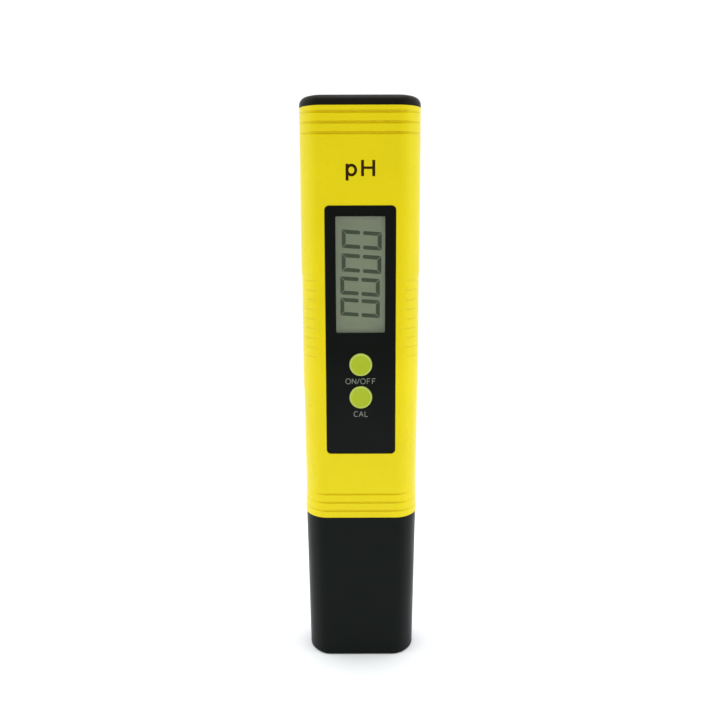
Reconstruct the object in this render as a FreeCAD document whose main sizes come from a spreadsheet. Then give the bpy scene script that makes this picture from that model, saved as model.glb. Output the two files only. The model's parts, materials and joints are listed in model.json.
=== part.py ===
"""A pen-type digital pH meter with its battery cap and its protective cap on.

Millimetres, +Z up. The meter stands on the flat end of its protective cap, and the origin is the
middle of that end. X runs across the meter and -Y is the side with the display and the buttons.

Every size is a cell of the sheet called dim, and sketches and features are bound to those cells.
"""

import math
import os

import FreeCAD
import Part
import Sketcher

Vector = FreeCAD.Vector
Rotation = FreeCAD.Rotation
ACROSS, INWARD, UP = Vector(1, 0, 0), Vector(0, 1, 0), Vector(0, 0, 1)

SIZES = {
    "whole meter": {
        "total_height": 155.2,
        "cap_gap": 0.1,  # between the case and either cap
        "fit_gap": 0.1,  # between a piece and the pocket it sits in
    },
    "case": {
        "case_bottom": 41.5,
        "case_top": 152.42,
        "head_bottom": 109.6,
        "step_height": 1.4,
        "head_half_width": 16.12,
        "grip_bottom": 84.0,  # the case is as wide here as just below the head, and narrows downwards
        "waist_half_width": 15.98,
        "flare_height": 8.0,  # over this height the case widens again to its bottom edge
        "flare_half_width": 15.62,
        "base_half_width": 15.82,
        "case_half_depth": 8.8,
        "front_radius": 4.9,  # the tighter arc of a corner, next to the front or rear face
        "side_radius": 9.0,  # the wider arc of a corner, next to the side
        "corner_angle": 40.0,  # degrees turned by the tighter arc
        "cavity_half_width": 13.2,
        "cavity_half_depth": 7.0,
        "cavity_radius": 4.0,
        "seam_gap": 0.16,
        "tongue_height": 0.9,
        "tongue_thickness": 0.6,
    },
    "case grooves": {
        "band_groove_depth": 0.62,
        "band_groove_top": 0.5,  # above the groove's own height, at the surface
        "band_groove_floor": 0.5,
        "band_groove_slope": 0.35,  # height of the slope below the floor
        "band_groove_lip": 0.14,  # depth at which the slope eases off
        "band_groove_ease": 0.7,
        "band_groove_rise": 0.5,  # how much shallower the grooves are at the sides
        "band_groove_count": 3,
        "top_groove_z": 150.77,
        "top_groove_pitch": 2.65,
        "bottom_groove_z": 48.15,
        "bottom_groove_pitch": 2.42,
        "bottom_groove_lift": 0.2,  # how much shallower the lower grooves are than the top ones
        "grip_groove_depth": 0.26,
        "grip_groove_top": 0.3,
        "grip_groove_floor": 0.35,
        "grip_groove_slope": 0.35,
        "grip_groove_lip": 0.06,
        "grip_groove_ease": 0.45,
        "grip_groove_rise": 0.17,  # how much shallower the grooves are at the sides
        "grip_groove_sink": 0.05,  # and how much deeper next to the face
        "grip_groove_reach": 3.0,  # length of the straight run-out
        "grip_groove_count": 9,
        "grip_groove_z": 107.4,
        "grip_groove_pitch": 2.56,
        "groove_undercut": 0.1,  # lean of every groove's upper wall
    },
    "face panel": {
        "panel_half_width": 9.33,
        "panel_bottom": 60.05,
        "panel_top": 127.1,
        "panel_radius": 1.15,
        "panel_thickness": 0.8,
        "panel_recess": 0.92,
        "window_half_width": 6.55,
        "window_bottom": 93.58,
        "window_top": 124.35,
        "window_radius": 0.3,
        "window_rim": 0.5,  # how far the window reaches behind the panel
        "window_rim_thickness": 0.8,
    },
    "buttons": {
        "power_button_z": 84.9,
        "calibrate_button_z": 75.9,
        "button_radius": 3.07,
        "button_hole_radius": 3.22,
        "button_height": 3.06,
        "button_edge_radius": 0.4,
        "button_dish_radius": 2.3,
        "button_dish_depth": 0.12,
        "button_flange_radius": 3.8,
        "button_flange_thickness": 0.55,
        "button_stem_radius": 1.5,
        "button_stem_height": 0.16,
    },
    "tactile switches": {
        "switch_half_side": 3.0,
        "switch_base_height": 3.1,
        "switch_cover_thickness": 0.3,
        "switch_well_radius": 2.1,
        "switch_well_depth": 1.5,
        "switch_cover_hole": 1.8,
        "plunger_radius": 1.7,
        "plunger_flange_radius": 2.0,
        "plunger_flange_height": 0.7,
        "plunger_rise": 1.1,
        "switch_leg_half_width": 0.4,
        "switch_leg_reach": 1.2,
    },
    "circuit board": {
        "board_half_width": 12.4,
        "board_bottom": 69.5,
        "board_top": 132.9,
        "board_front": 2.0,  # how far the board's front face is before the middle of the meter
        "board_thickness": 1.2,
        "board_gap": 0.02,
        "board_screw_x": 10.4,
        "board_screw_low": 72.0,
        "board_screw_high": 130.6,
        "boss_radius": 2.1,
        "boss_root": 0.3,
        "screw_radius": 0.8,
        "pilot_radius": 0.83,
        "screw_hole_radius": 1.1,
        "screw_head_radius": 1.75,
        "screw_head_height": 1.2,
        "screw_length": 5.2,
        "pilot_depth": 4.4,
        "screw_slot_half_length": 1.1,
        "screw_slot_half_width": 0.2,
        "screw_slot_depth": 0.6,
        "processor_half_side": 5.0,
        "processor_z": 104.0,
        "processor_height": 1.4,
        "amplifier_half_width": 2.0,
        "amplifier_half_length": 2.5,
        "amplifier_z": 84.0,
        "amplifier_height": 1.5,
        "pin_pitch": 1.27,
        "pin_half_width": 0.2,
        "pin_reach": 1.0,
        "pin_thickness": 0.2,
        "crystal_x": 8.3,
        "crystal_z": 104.0,
        "crystal_half_width": 1.2,
        "crystal_half_length": 4.0,
        "crystal_height": 1.6,
        "chip_half_length": 0.8,
        "chip_half_width": 0.4,
        "chip_height": 0.6,
    },
    "display": {
        "display_z": 109.1,
        "display_front": 6.9,  # how far the frame's front face is before the middle of the meter
        "display_frame_half_width": 9.8,
        "display_frame_half_height": 19.0,
        "display_frame_wall": 0.8,
        "display_frame_lip": 0.4,
        "display_opening_half_width": 7.2,
        "display_opening_half_height": 16.0,
        "front_glass_half_width": 8.9,
        "front_glass_half_height": 18.1,
        "rear_glass_half_width": 7.3,
        "glass_thickness": 0.7,
        "film_thickness": 0.2,
        "film_inset": 0.2,
        "layer_gap": 0.02,
        "zebra_inner": 7.5,
        "zebra_outer": 8.85,
        "zebra_half_length": 16.5,
    },
    "battery drawer": {
        "cap_edge_radius": 2.1,
        "skirt_height": 3.9,
        "skirt_thickness": 2.0,
        "skirt_radius": 3.9,
        "skirt_seal_z": 150.6,
        "skirt_seal_wire": 0.6,
        "seal_proud": 0.04,
        "seal_groove_slack": 0.1,
        "cell_z": 141.2,
        "cell_radius": 5.8,
        "cell_height": 5.4,
        "cell_edge_radius": 0.5,
        "cell_gasket_step": 0.3,
        "cell_negative_radius": 4.6,
        "carrier_half_width": 5.1,
        "carrier_half_depth": 6.75,
        "carrier_radius": 1.0,
        "carrier_bottom": 134.3,
        "carrier_top": 148.0,
        "carrier_bore_radius": 5.9,
        "carrier_neck_half_width": 3.4,
        "carrier_neck_half_depth": 3.0,
        "socket_wall": 1.1,
        "socket_height": 3.0,
        "guide_rib_x": 7.7,
        "guide_rib_thickness": 1.2,
        "guide_rib_bottom": 133.6,
        "guide_rib_top": 148.0,
        "guide_rib_inner": 1.0,
        "contact_outer": 7.6,
        "contact_leaf": 6.4,
        "contact_tip": 5.43,
        "contact_thickness": 0.3,
        "contact_width": 5.0,
        "contact_low": 133.4,
        "contact_high": 147.4,
        "contact_leaf_low": 136.0,
        "contact_bump": 1.2,
        "lead_radius": 0.45,
        "lead_start": 1.2,
        "lead_bend": 1.0,
        "lead_low": 130.2,
    },
    "electrode holder": {
        "plug_bottom": 41.45,
        "plug_top": 54.0,
        "plug_radius": 3.9,
        "plug_lock_bottom": 50.4,
        "plug_lock_height": 1.6,
        "plug_lock_depth": 0.9,
        "plug_seal_z": 46.4,
        "plug_seal_wire": 0.7,
        "guard_half_width": 12.3,
        "guard_half_depth": 6.3,
        "guard_radius": 3.6,
        "guard_wall": 1.3,
        "guard_bottom": 9.0,
        "guard_floor": 33.0,
        "guard_seal_z": 38.2,
        "guard_seal_wire": 0.55,
        "guard_seal_proud": 0.12,
        "front_notch_half_width": 5.6,
        "front_notch_top": 23.0,
        "side_notch_half_width": 2.4,
        "side_notch_top": 19.0,
    },
    "protective cap": {
        "cap_rim_half_width": 15.6,
        "cap_rim_half_depth": 8.8,
        "cap_foot_half_width": 14.87,
        "cap_foot_half_depth": 8.8,
        "cap_foot_radius": 0.6,
        "cap_well_half_width": 12.5,
        "cap_well_half_depth": 6.5,
        "cap_well_radius": 3.8,
        "cap_floor": 2.0,
    },
    "electrode": {
        "electrode_x": -2.0,
        "tube_radius": 4.5,
        "tube_bore": 3.6,
        "tube_bottom": 21.0,
        "tube_top": 60.0,
        "bore_gap": 0.05,
        "stem_radius": 2.0,
        "stem_bore": 1.5,
        "stem_top": 61.5,
        "bulb_radius": 3.8,
        "bulb_z": 17.4,
        "bulb_wall": 0.35,
        "end_seal_height": 2.4,
        "junction_radius": 0.45,
        "junction_offset": 2.8,
        "junction_proud": 0.2,
        "silver_radius": 0.25,
        "silver_bottom": 17.4,
        "silver_top": 63.0,
        "reference_bottom": 32.0,
        "potting_bottom": 55.5,
        "potting_top": 65.5,
        "potting_radius": 5.2,
        "potting_roof": 1.0,
        "potting_room_radius": 3.4,
        "cable_radius": 0.9,
        "cable_y": 0.5,
        "cable_bend": 1.2,
        "cable_top": 76.2,
        "probe_x": 6.6,
        "probe_radius": 1.5,
        "probe_bore": 1.2,
        "probe_bottom": 15.5,
        "probe_top": 57.0,
        "probe_tip_radius": 1.0,
        "thermistor_z": 18.2,
        "thermistor_radius": 0.9,
        "thermistor_lead_radius": 0.2,
        "thermistor_lead_offset": 0.45,
        "thermistor_lead_bend": 0.7,
        "thermistor_lead_top": 72.7,
    },
}

doc = FreeCAD.newDocument("digital_ph_meter")
nodes = []


def fill_sheet():
    """Writes every size to the sheet, one row each, with its name as the cell's alias."""
    sheet = doc.addObject("Spreadsheet::Sheet", "dim")
    row = 1
    for group, sizes in SIZES.items():
        sheet.set(f"A{row}", group)
        row += 1
        for alias, value in sizes.items():
            sheet.set(f"A{row}", alias)
            sheet.set(f"B{row}", str(value))
            sheet.setAlias(f"B{row}", alias)
            row += 1
    doc.recompute()
    return sheet


dim = fill_sheet()


def size(expression):
    """The number that an expression of the sheet's cells comes to now."""
    return float(dim.evalExpression(str(expression)))


# ---------------------------------------------------------------------------------------------
# Bodies, sketches and features
# ---------------------------------------------------------------------------------------------


def new_body(label):
    """A PartDesign body whose label becomes the name of its node."""
    body = doc.addObject("PartDesign::Body", label)
    body.Label = label
    nodes.append(body)
    return body


def origin_feature(body, role):
    return next(f for f in body.Origin.OriginFeatures if f.Role == role)


def new_sketch(body, plane, offset="0"):
    """A sketch on one of the body's own origin planes, moved by offset along the plane's normal.

    The normals are +Z for XY, -Y for XZ and +X for YZ.
    """
    sketch = body.newObject("Sketcher::SketchObject", f"{body.Label}_sketch")
    sketch.AttachmentSupport = [(origin_feature(body, f"{plane}_Plane"), "")]
    sketch.MapMode = "FlatFace"
    sketch.setExpression("AttachmentOffset.Base.z", str(offset))
    return sketch


def constrain(sketch, kind, *arguments, to):
    """Adds a dimension constraint and binds it to an expression."""
    index = sketch.addConstraint(Sketcher.Constraint(kind, *arguments, size(to)))
    sketch.setExpression(f"Constraints[{index}]", str(to))


def pin_point(sketch, geometry, end, x, y):
    """Fixes one end of a sketch element at (x, y) from the sketch's origin."""
    constrain(sketch, "DistanceX", -1, 1, geometry, end, to=x)
    constrain(sketch, "DistanceY", -1, 1, geometry, end, to=y)


def arc_between(start, end, radius):
    """The arc of under half a turn from start to end that turns left, or right if radius is negative."""
    if radius < 0:
        start, end = end, start
    chord = end - start
    left = Vector(-chord.y, chord.x, 0).normalize()
    rise = math.sqrt(max(radius**2 - (chord.Length / 2) ** 2, 0.0))
    centre = start + chord / 2 + left * rise
    first = math.atan2(start.y - centre.y, start.x - centre.x)
    last = math.atan2(end.y - centre.y, end.x - centre.x)
    if last < first:
        last += 2 * math.pi
    return Part.ArcOfCircle(Part.Circle(centre, UP, abs(radius)), first, last)


def draw(sketch, corners, closed=True):
    """Draws lines and arcs through corners, each (x, y) or (x, y, radius of the arc to the next)."""
    points = [Vector(size(c[0]), size(c[1]), 0) for c in corners]
    count = len(corners) if closed else len(corners) - 1
    elements = []
    for i in range(count):
        start, end = points[i], points[(i + 1) % len(points)]
        radius = corners[i][2] if len(corners[i]) > 2 else None
        if radius is None:
            index = sketch.addGeometry(Part.LineSegment(start, end))
            elements.append((index, 1, 2))
        else:
            index = sketch.addGeometry(arc_between(start, end, size(radius)))
            elements.append((index, 1, 2) if size(radius) > 0 else (index, 2, 1))
            constrain(sketch, "Radius", index, to=f"abs({radius})")
        pin_point(sketch, index, elements[-1][1], corners[i][0], corners[i][1])
    for i in range(count if closed else count - 1):
        this, following = elements[i], elements[(i + 1) % count]
        sketch.addConstraint(
            Sketcher.Constraint("Coincident", this[0], this[2], following[0], following[1])
        )
    if not closed:
        pin_point(sketch, elements[-1][0], elements[-1][2], corners[-1][0], corners[-1][1])
    return sketch


def draw_disc(sketch, x, y, radius):
    index = sketch.addGeometry(Part.Circle(Vector(size(x), size(y), 0), UP, size(radius)))
    constrain(sketch, "Radius", index, to=radius)
    pin_point(sketch, index, 3, x, y)
    return sketch


def box(left, right, low, high):
    return [(left, low), (right, low), (right, high), (left, high)]


def rounded_box(left, right, low, high, radius):
    """The corners of a box with rounded corners, anticlockwise."""
    inner_left, inner_right = f"({left}) + {radius}", f"({right}) - {radius}"
    inner_low, inner_high = f"({low}) + {radius}", f"({high}) - {radius}"
    return [
        (inner_left, low),
        (inner_right, low, radius),
        (right, inner_low),
        (right, inner_high, radius),
        (inner_right, high),
        (inner_left, high, radius),
        (left, inner_high),
        (left, inner_low, radius),
    ]


def centred_box(half_width, half_depth, radius):
    return rounded_box(f"-({half_width})", half_width, f"-({half_depth})", half_depth, radius)


def extrude(kind, body, sketch, length, other_way=False):
    feature = body.newObject(f"PartDesign::{kind}", f"{body.Label}_{kind.lower()}")
    feature.Profile = sketch
    feature.setExpression("Length", str(length))
    feature.Reversed = other_way
    return feature


def pad(body, sketch, length, other_way=False):
    """Adds material along the sketch's normal, or against it."""
    return extrude("Pad", body, sketch, length, other_way)


def pocket(body, sketch, length, other_way=False):
    """Cuts against the sketch's normal, or along it."""
    return extrude("Pocket", body, sketch, length, other_way)


def loft(body, sketches, kind="AdditiveLoft"):
    feature = body.newObject(f"PartDesign::{kind}", f"{body.Label}_loft")
    feature.Profile = sketches[0]
    feature.Sections = sketches[1:]
    feature.Ruled = True
    return feature


def sweep(body, profile, path, kind="AdditivePipe"):
    feature = body.newObject(f"PartDesign::{kind}", f"{body.Label}_sweep")
    feature.Profile = profile
    feature.Spine = (path, [])
    feature.Mode = "Standard"
    return feature


def repeat_down(body, feature, pitch, count):
    """Repeats a feature down the meter."""
    pattern = body.newObject("PartDesign::LinearPattern", f"{body.Label}_pattern")
    pattern.Originals = [feature]
    pattern.Direction = (origin_feature(body, "Z_Axis"), [""])
    pattern.Reversed = True
    pattern.Mode = "Spacing"
    pattern.setExpression("Offset", pitch)
    pattern.Occurrences = count
    body.Tip = pattern
    return pattern


def turn(body, corners, sketch=None):
    """Revolves an outline of (radius, height) corners about the body's own Z axis."""
    sketch = sketch or draw(new_sketch(body, "XZ"), corners)
    feature = body.newObject("PartDesign::Revolution", f"{body.Label}_revolution")
    feature.Profile = sketch
    feature.ReferenceAxis = (sketch, ["V_Axis"])
    feature.Angle = 360
    return feature


def round_edges(body, radius, chosen):
    """Fillets the edges of the body's shape for which chosen(edge) is true."""
    doc.recompute()
    base = body.Tip
    names = [f"Edge{i + 1}" for i, edge in enumerate(base.Shape.Edges) if chosen(edge)]
    if not names:
        raise RuntimeError(f"{body.Label}: no edge to round")
    feature = body.newObject("PartDesign::Fillet", f"{body.Label}_fillet")
    feature.Base = (base, names)
    feature.setExpression("Radius", radius)
    return feature


def edges_at_height(z):
    """A test for edges that lie in the plane at height z of the body's own frame."""
    return lambda edge: (
        abs(edge.BoundBox.ZMin - size(z)) < 1e-3 and abs(edge.BoundBox.ZMax - size(z)) < 1e-3
    )


def place(body, x="0", y="0", z="0", rotation=None):
    """Puts a body at (x, y, z), each bound to the sheet, after turning it."""
    if rotation:
        body.Placement = FreeCAD.Placement(Vector(), rotation)
    for axis, value in zip("xyz", (x, y, z)):
        body.setExpression(f"Placement.Base.{axis}", str(value))


FACING_FRONT = Rotation(ACROSS, 90)  # a body's own +Z becomes the meter's -Y
FACING_BACK = Rotation(ACROSS, -90)  # a body's own +Z becomes the meter's +Y
FACING_LEFT = Rotation(INWARD, -90)  # a body's own +Z becomes the meter's -X


# ---------------------------------------------------------------------------------------------
# The meter's outline
# ---------------------------------------------------------------------------------------------

SINE = "sin(dim.corner_angle * 1deg)"
COSINE = "cos(dim.corner_angle * 1deg)"


def corner_points(half_width, half_depth):
    """Where a corner meets the side, changes from its wide to its tight arc, and meets the face.

    Each is (x, y) in the quarter where both are positive.
    """
    width = f"(dim.front_radius * {SINE} + dim.side_radius * (1 - {SINE}))"
    depth = f"(dim.front_radius * (1 - {COSINE}) + dim.side_radius * {COSINE})"
    side = (half_width, f"({half_depth}) - {depth}")
    middle = (
        f"({half_width}) - dim.side_radius * (1 - {SINE})",
        f"({half_depth}) - dim.front_radius * (1 - {COSINE})",
    )
    face = (f"({half_width}) - {width}", half_depth)
    return side, middle, face


def outline_quarter(half_width, half_depth, x_sign, y_sign):
    """One corner's three points in the quarter given by the signs, in anticlockwise order."""
    side, middle, face = corner_points(half_width, half_depth)
    radii = ("dim.side_radius", "dim.front_radius", None)
    points = [side, middle, face]
    if x_sign * y_sign < 0:
        points.reverse()
        radii = ("dim.front_radius", "dim.side_radius", None)
    return [
        (f"{x_sign} * ({x})", f"{y_sign} * ({y})") + ((radius,) if radius else ())
        for (x, y), radius in zip(points, radii)
    ]


def full_outline(half_width, half_depth):
    quarters = ((1, 1), (-1, 1), (-1, -1), (1, -1))
    return [c for signs in quarters for c in outline_quarter(half_width, half_depth, *signs)]


def half_outline(half_width, half_depth, y_sign):
    """The front or rear half of the outline, cut off at that half's side of the seam."""
    seam = f"{y_sign} * dim.seam_gap / 2"
    quarters = ((1, 1), (-1, 1)) if y_sign > 0 else ((-1, -1), (1, -1))
    corners = [c for signs in quarters for c in outline_quarter(half_width, half_depth, *signs)]
    first, last = (1, -1) if y_sign > 0 else (-1, 1)
    return [(f"{first} * ({half_width})", seam), *corners, (f"{last} * ({half_width})", seam)]


def half_box(half_width, half_depth, radius, y_sign):
    """Half of a rounded box, cut off at that half's side of the seam."""
    seam = f"{y_sign} * dim.seam_gap / 2"
    wide, deep = f"({half_width})", f"({half_depth})"
    first, last = (1, -1) if y_sign > 0 else (-1, 1)
    return [
        (f"{first} * {wide}", seam),
        (f"{first} * {wide}", f"{y_sign} * ({deep} - {radius})", radius),
        (f"{first} * ({wide} - {radius})", f"{y_sign} * {deep}"),
        (f"{last} * ({wide} - {radius})", f"{y_sign} * {deep}", radius),
        (f"{last} * {wide}", f"{y_sign} * ({deep} - {radius})"),
        (f"{last} * {wide}", seam),
    ]


# ---------------------------------------------------------------------------------------------
# Case
# ---------------------------------------------------------------------------------------------


def case_half(label, y_sign):
    """A tapering half shell with its grooves, and the rib that holds the electrode holder."""
    body = new_body(label)
    levels = (
        ("dim.case_bottom", "dim.base_half_width"),
        ("dim.case_bottom + dim.flare_height", "dim.flare_half_width"),
        ("dim.grip_bottom", "dim.waist_half_width"),
        ("dim.head_bottom - dim.step_height", "dim.waist_half_width"),
        ("dim.head_bottom", "dim.head_half_width"),
        ("dim.case_top", "dim.head_half_width"),
    )
    sections = [
        draw(new_sketch(body, "XY", z), half_outline(width, "dim.case_half_depth", y_sign))
        for z, width in levels
    ]
    loft(body, sections)
    cavity = half_box(
        "dim.cavity_half_width", "dim.cavity_half_depth", "dim.cavity_radius", y_sign
    )
    through = draw(new_sketch(body, "XY", "dim.case_top"), cavity)
    pocket(body, through, "dim.case_top - dim.case_bottom")
    lock_rib(body, y_sign)
    depth, pitch = "dim.case_half_depth", "dim.top_groove_pitch"
    band_grooves(body, y_sign, "dim.top_groove_z", "dim.head_half_width", depth, pitch)
    middle_width = "((dim.base_half_width + dim.flare_half_width) / 2)"
    depth, pitch = "(dim.case_half_depth + dim.bottom_groove_lift)", "dim.bottom_groove_pitch"
    band_grooves(body, y_sign, "dim.bottom_groove_z", middle_width, depth, pitch)
    for x_sign in (-1, 1):
        grip_grooves(body, x_sign, y_sign)
    return body


def lock_rib(body, y_sign):
    """The rib round the cavity that sits in the electrode holder's groove."""
    outside = half_box(
        "dim.cavity_half_width", "dim.cavity_half_depth", "dim.cavity_radius", y_sign
    )
    inset = "(dim.plug_lock_depth - dim.fit_gap)"
    inside = half_box(
        f"dim.cavity_half_width - {inset}",
        f"dim.cavity_half_depth - {inset}",
        f"(dim.cavity_radius - {inset})",
        y_sign,
    )
    ring = outside + inside[::-1]
    corners = [(x, y) for x, y, *_ in ring]
    radii = {1: "dim.cavity_radius", 3: "dim.cavity_radius"}
    inner = f"-(dim.cavity_radius - {inset})"
    radii.update({len(outside) + 1: inner, len(outside) + 3: inner})
    corners = [c + ((radii[i],) if i in radii else ()) for i, c in enumerate(corners)]
    height = "dim.plug_lock_height - 2 * dim.fit_gap"
    sketch = draw(new_sketch(body, "XY", "dim.plug_lock_bottom + dim.fit_gap"), corners)
    pad(body, sketch, height)


def groove_section(body, y_sign, x_sign, half_width, z, kind):
    """A groove's section on the seam: a steep upper wall, a floor, a slope and an eased lower lip."""
    depth, lip = f"dim.{kind}_groove_depth", f"dim.{kind}_groove_lip"
    top = f"{z} + dim.{kind}_groove_top"
    low = f"{top} - dim.{kind}_groove_floor"
    slope, ease = f"dim.{kind}_groove_slope", f"dim.{kind}_groove_ease"
    corners = [
        (f"{half_width} + {lip}", top),
        (f"{half_width} + {lip}", f"{low} - {slope} - 2 * {ease}"),
        (f"{half_width} - {lip}", f"{low} - {slope}"),
        (f"{half_width} - {depth}", low),
        (f"{half_width} - {depth}", f"{top} - dim.groove_undercut"),
    ]
    if x_sign < 0:
        corners = [(f"-({x})", height) for x, height in reversed(corners)]
    plane = new_sketch(body, "XZ", f"-({y_sign}) * dim.seam_gap / 2")
    return draw(plane, corners)


def band_grooves(body, y_sign, z, half_width, half_depth, pitch):
    """Three grooves round the case, from seam to seam."""
    wide = f"({half_width} + dim.band_groove_rise)"
    path = draw(new_sketch(body, "XY", z), half_outline(wide, half_depth, y_sign), closed=False)
    section = groove_section(body, y_sign, 1 if y_sign > 0 else -1, wide, z, "band")
    groove = sweep(body, section, path, "SubtractivePipe")
    repeat_down(body, groove, pitch, int(size("dim.band_groove_count")))


def grip_grooves(body, x_sign, y_sign):
    """Short finger grooves on one side, which follow the corner and run out next to the face."""
    z = "dim.grip_groove_z"
    wide = "(dim.waist_half_width + dim.grip_groove_rise)"
    side, middle, _ = corner_points(wide, "(dim.case_half_depth - dim.grip_groove_sink)")
    end = (
        f"{middle[0]} - dim.grip_groove_reach * {COSINE}",
        f"{middle[1]} + dim.grip_groove_reach * {SINE}",
    )
    points = [
        (wide, "dim.seam_gap / 2"),
        (wide, side[1], f"{x_sign * y_sign} * dim.side_radius"),
        middle,
        end,
    ]
    points = [(f"{x_sign} * ({p[0]})", f"{y_sign} * ({p[1]})", *p[2:]) for p in points]
    path = draw(new_sketch(body, "XY", z), points, closed=False)
    section = groove_section(body, y_sign, x_sign, wide, z, "grip")
    groove = sweep(body, section, path, "SubtractivePipe")
    repeat_down(body, groove, "dim.grip_groove_pitch", int(size("dim.grip_groove_count")))


def ring_path(body, z, half_width, half_depth, radius):
    """A closed rounded path round the meter at height z, starting halfway along the right side."""
    wide, deep = f"({half_width})", f"({half_depth})"
    corners = [
        (wide, "0"),
        (wide, f"{deep} - {radius}", radius),
        (f"{wide} - {radius}", deep),
        (f"-({wide} - {radius})", deep, radius),
        (f"-{wide}", f"{deep} - {radius}"),
        (f"-{wide}", f"-({deep} - {radius})", radius),
        (f"-({wide} - {radius})", f"-{deep}"),
        (f"{wide} - {radius}", f"-{deep}", radius),
        (wide, f"-({deep} - {radius})"),
    ]
    return draw(new_sketch(body, "XY", z), corners)


def seal_ring(label, z, half_width, half_depth, radius, wire):
    """A rubber ring of round section, whose centre line is the rounded box given."""
    body = new_body(label)
    path = ring_path(body, z, half_width, half_depth, radius)
    section = draw_disc(new_sketch(body, "XZ"), half_width, z, wire)
    sweep(body, section, path)
    return body


def cut_ring_groove(body, z, height, half_width, half_depth, radius, depth):
    """Cuts a groove of square section into the outside of a rounded box."""
    sketch = new_sketch(body, "XY", f"{z} + ({height}) / 2")
    draw(sketch, centred_box(f"{half_width} + 1", f"{half_depth} + 1", f"({radius} + 1)"))
    floor_radius = f"({radius} - ({depth}))"
    draw(
        sketch, centred_box(f"{half_width} - ({depth})", f"{half_depth} - ({depth})", floor_radius)
    )
    return pocket(body, sketch, height)


def facing_sketch(body, before):
    """A sketch seen from the front, in x and z, at the given distance before the middle."""
    return new_sketch(body, "XZ", before)


def slab(label, before, thickness, *outlines):
    """A flat piece that lies across the meter: its front is before the middle by the distance."""
    body = new_body(label)
    sketch = facing_sketch(body, before)
    for outline in outlines:
        draw(sketch, outline)
    pad(body, sketch, thickness, other_way=True)
    return body


# ---------------------------------------------------------------------------------------------
# Case details
# ---------------------------------------------------------------------------------------------

PANEL_BACK = "(dim.case_half_depth - dim.panel_recess + dim.board_gap)"
WINDOW_HEIGHT = "(dim.window_top - dim.window_bottom)"
BOARD_FRONT = "(dim.board_front + dim.board_gap)"
BOARD_BACK = "(dim.board_front - dim.board_thickness)"


def panel_outline(grow):
    return rounded_box(
        f"-(dim.panel_half_width + {grow})",
        f"dim.panel_half_width + {grow}",
        f"dim.panel_bottom - {grow}",
        f"dim.panel_top + {grow}",
        f"(dim.panel_radius + {grow})",
    )


def window_outline(grow):
    return rounded_box(
        f"-(dim.window_half_width + ({grow}))",
        f"dim.window_half_width + ({grow})",
        f"dim.window_bottom - ({grow})",
        f"dim.window_top + ({grow})",
        "dim.window_radius",
    )


def screw_centres():
    return [
        (f"{sign} * dim.board_screw_x", z)
        for sign in (-1, 1)
        for z in ("dim.board_screw_low", "dim.board_screw_high")
    ]


def open_front(body):
    """The panel's recess, the window and the two button holes."""
    recess = draw(facing_sketch(body, "dim.case_half_depth"), panel_outline("dim.fit_gap"))
    pocket(body, recess, "dim.panel_recess")
    holes = facing_sketch(body, "dim.case_half_depth")
    draw(holes, window_outline("dim.window_rim + dim.fit_gap"))
    for z in ("dim.power_button_z", "dim.calibrate_button_z"):
        draw_disc(holes, "0", z, "dim.button_hole_radius")
    pocket(body, holes, "dim.case_half_depth - dim.cavity_half_depth + dim.fit_gap")


def add_screw_bosses(body):
    posts = facing_sketch(body, BOARD_FRONT)
    pilots = facing_sketch(body, BOARD_FRONT)
    for x, z in screw_centres():
        draw_disc(posts, x, z, "dim.boss_radius")
        draw_disc(pilots, x, z, "dim.pilot_radius")
    pad(body, posts, f"dim.cavity_half_depth + dim.boss_root - {BOARD_FRONT}")
    pocket(body, pilots, "dim.pilot_depth", other_way=True)


def add_guide_ribs(body, y_sign):
    """Two ribs that guide the cell carrier and back the battery contacts."""
    sketch = new_sketch(body, "XY", "dim.guide_rib_bottom")
    near, far = "dim.guide_rib_inner", "(dim.cavity_half_depth + dim.boss_root)"
    for x_sign in (-1, 1):
        inner, outer = "dim.guide_rib_x", "(dim.guide_rib_x + dim.guide_rib_thickness)"
        xs = (inner, outer) if x_sign > 0 else (f"-{outer}", f"-{inner}")
        ys = (near, far) if y_sign > 0 else (f"-{far}", f"-{near}")
        draw(sketch, box(*xs, *ys))
    pad(body, sketch, "dim.guide_rib_top - dim.guide_rib_bottom")


def side_strips(body, z, inner, outer, low, high):
    """Two strips seen from above, one along each inner side wall."""
    sketch = new_sketch(body, "XY", z)
    draw(sketch, box(inner, outer, low, high))
    draw(sketch, box(f"-({outer})", f"-({inner})", low, high))
    return sketch


def add_tongue(body):
    """The rear half's tongue, which locates the front half along the seam."""
    outer = "dim.cavity_half_width + dim.tongue_thickness"
    strips = side_strips(
        body, "dim.case_bottom + 1", "dim.cavity_half_width", outer, "-dim.tongue_height", "0.3"
    )
    pad(body, strips, "dim.case_top - dim.case_bottom - 2")


def cut_tongue_rebate(body):
    inner = "dim.cavity_half_width - dim.fit_gap"
    outer = "dim.cavity_half_width + dim.tongue_thickness + dim.fit_gap"
    strips = side_strips(
        body, "dim.case_top", inner, outer, "-(dim.tongue_height + dim.fit_gap)", "0"
    )
    pocket(body, strips, "dim.case_top - dim.case_bottom")


def make_case():
    front_case = case_half("front_case", -1)
    cut_tongue_rebate(front_case)
    open_front(front_case)
    add_screw_bosses(front_case)
    add_guide_ribs(front_case, -1)
    rear_case = case_half("rear_case", 1)
    add_tongue(rear_case)
    add_guide_ribs(rear_case, 1)


# ---------------------------------------------------------------------------------------------
# Face panel, window and display
# ---------------------------------------------------------------------------------------------


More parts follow.
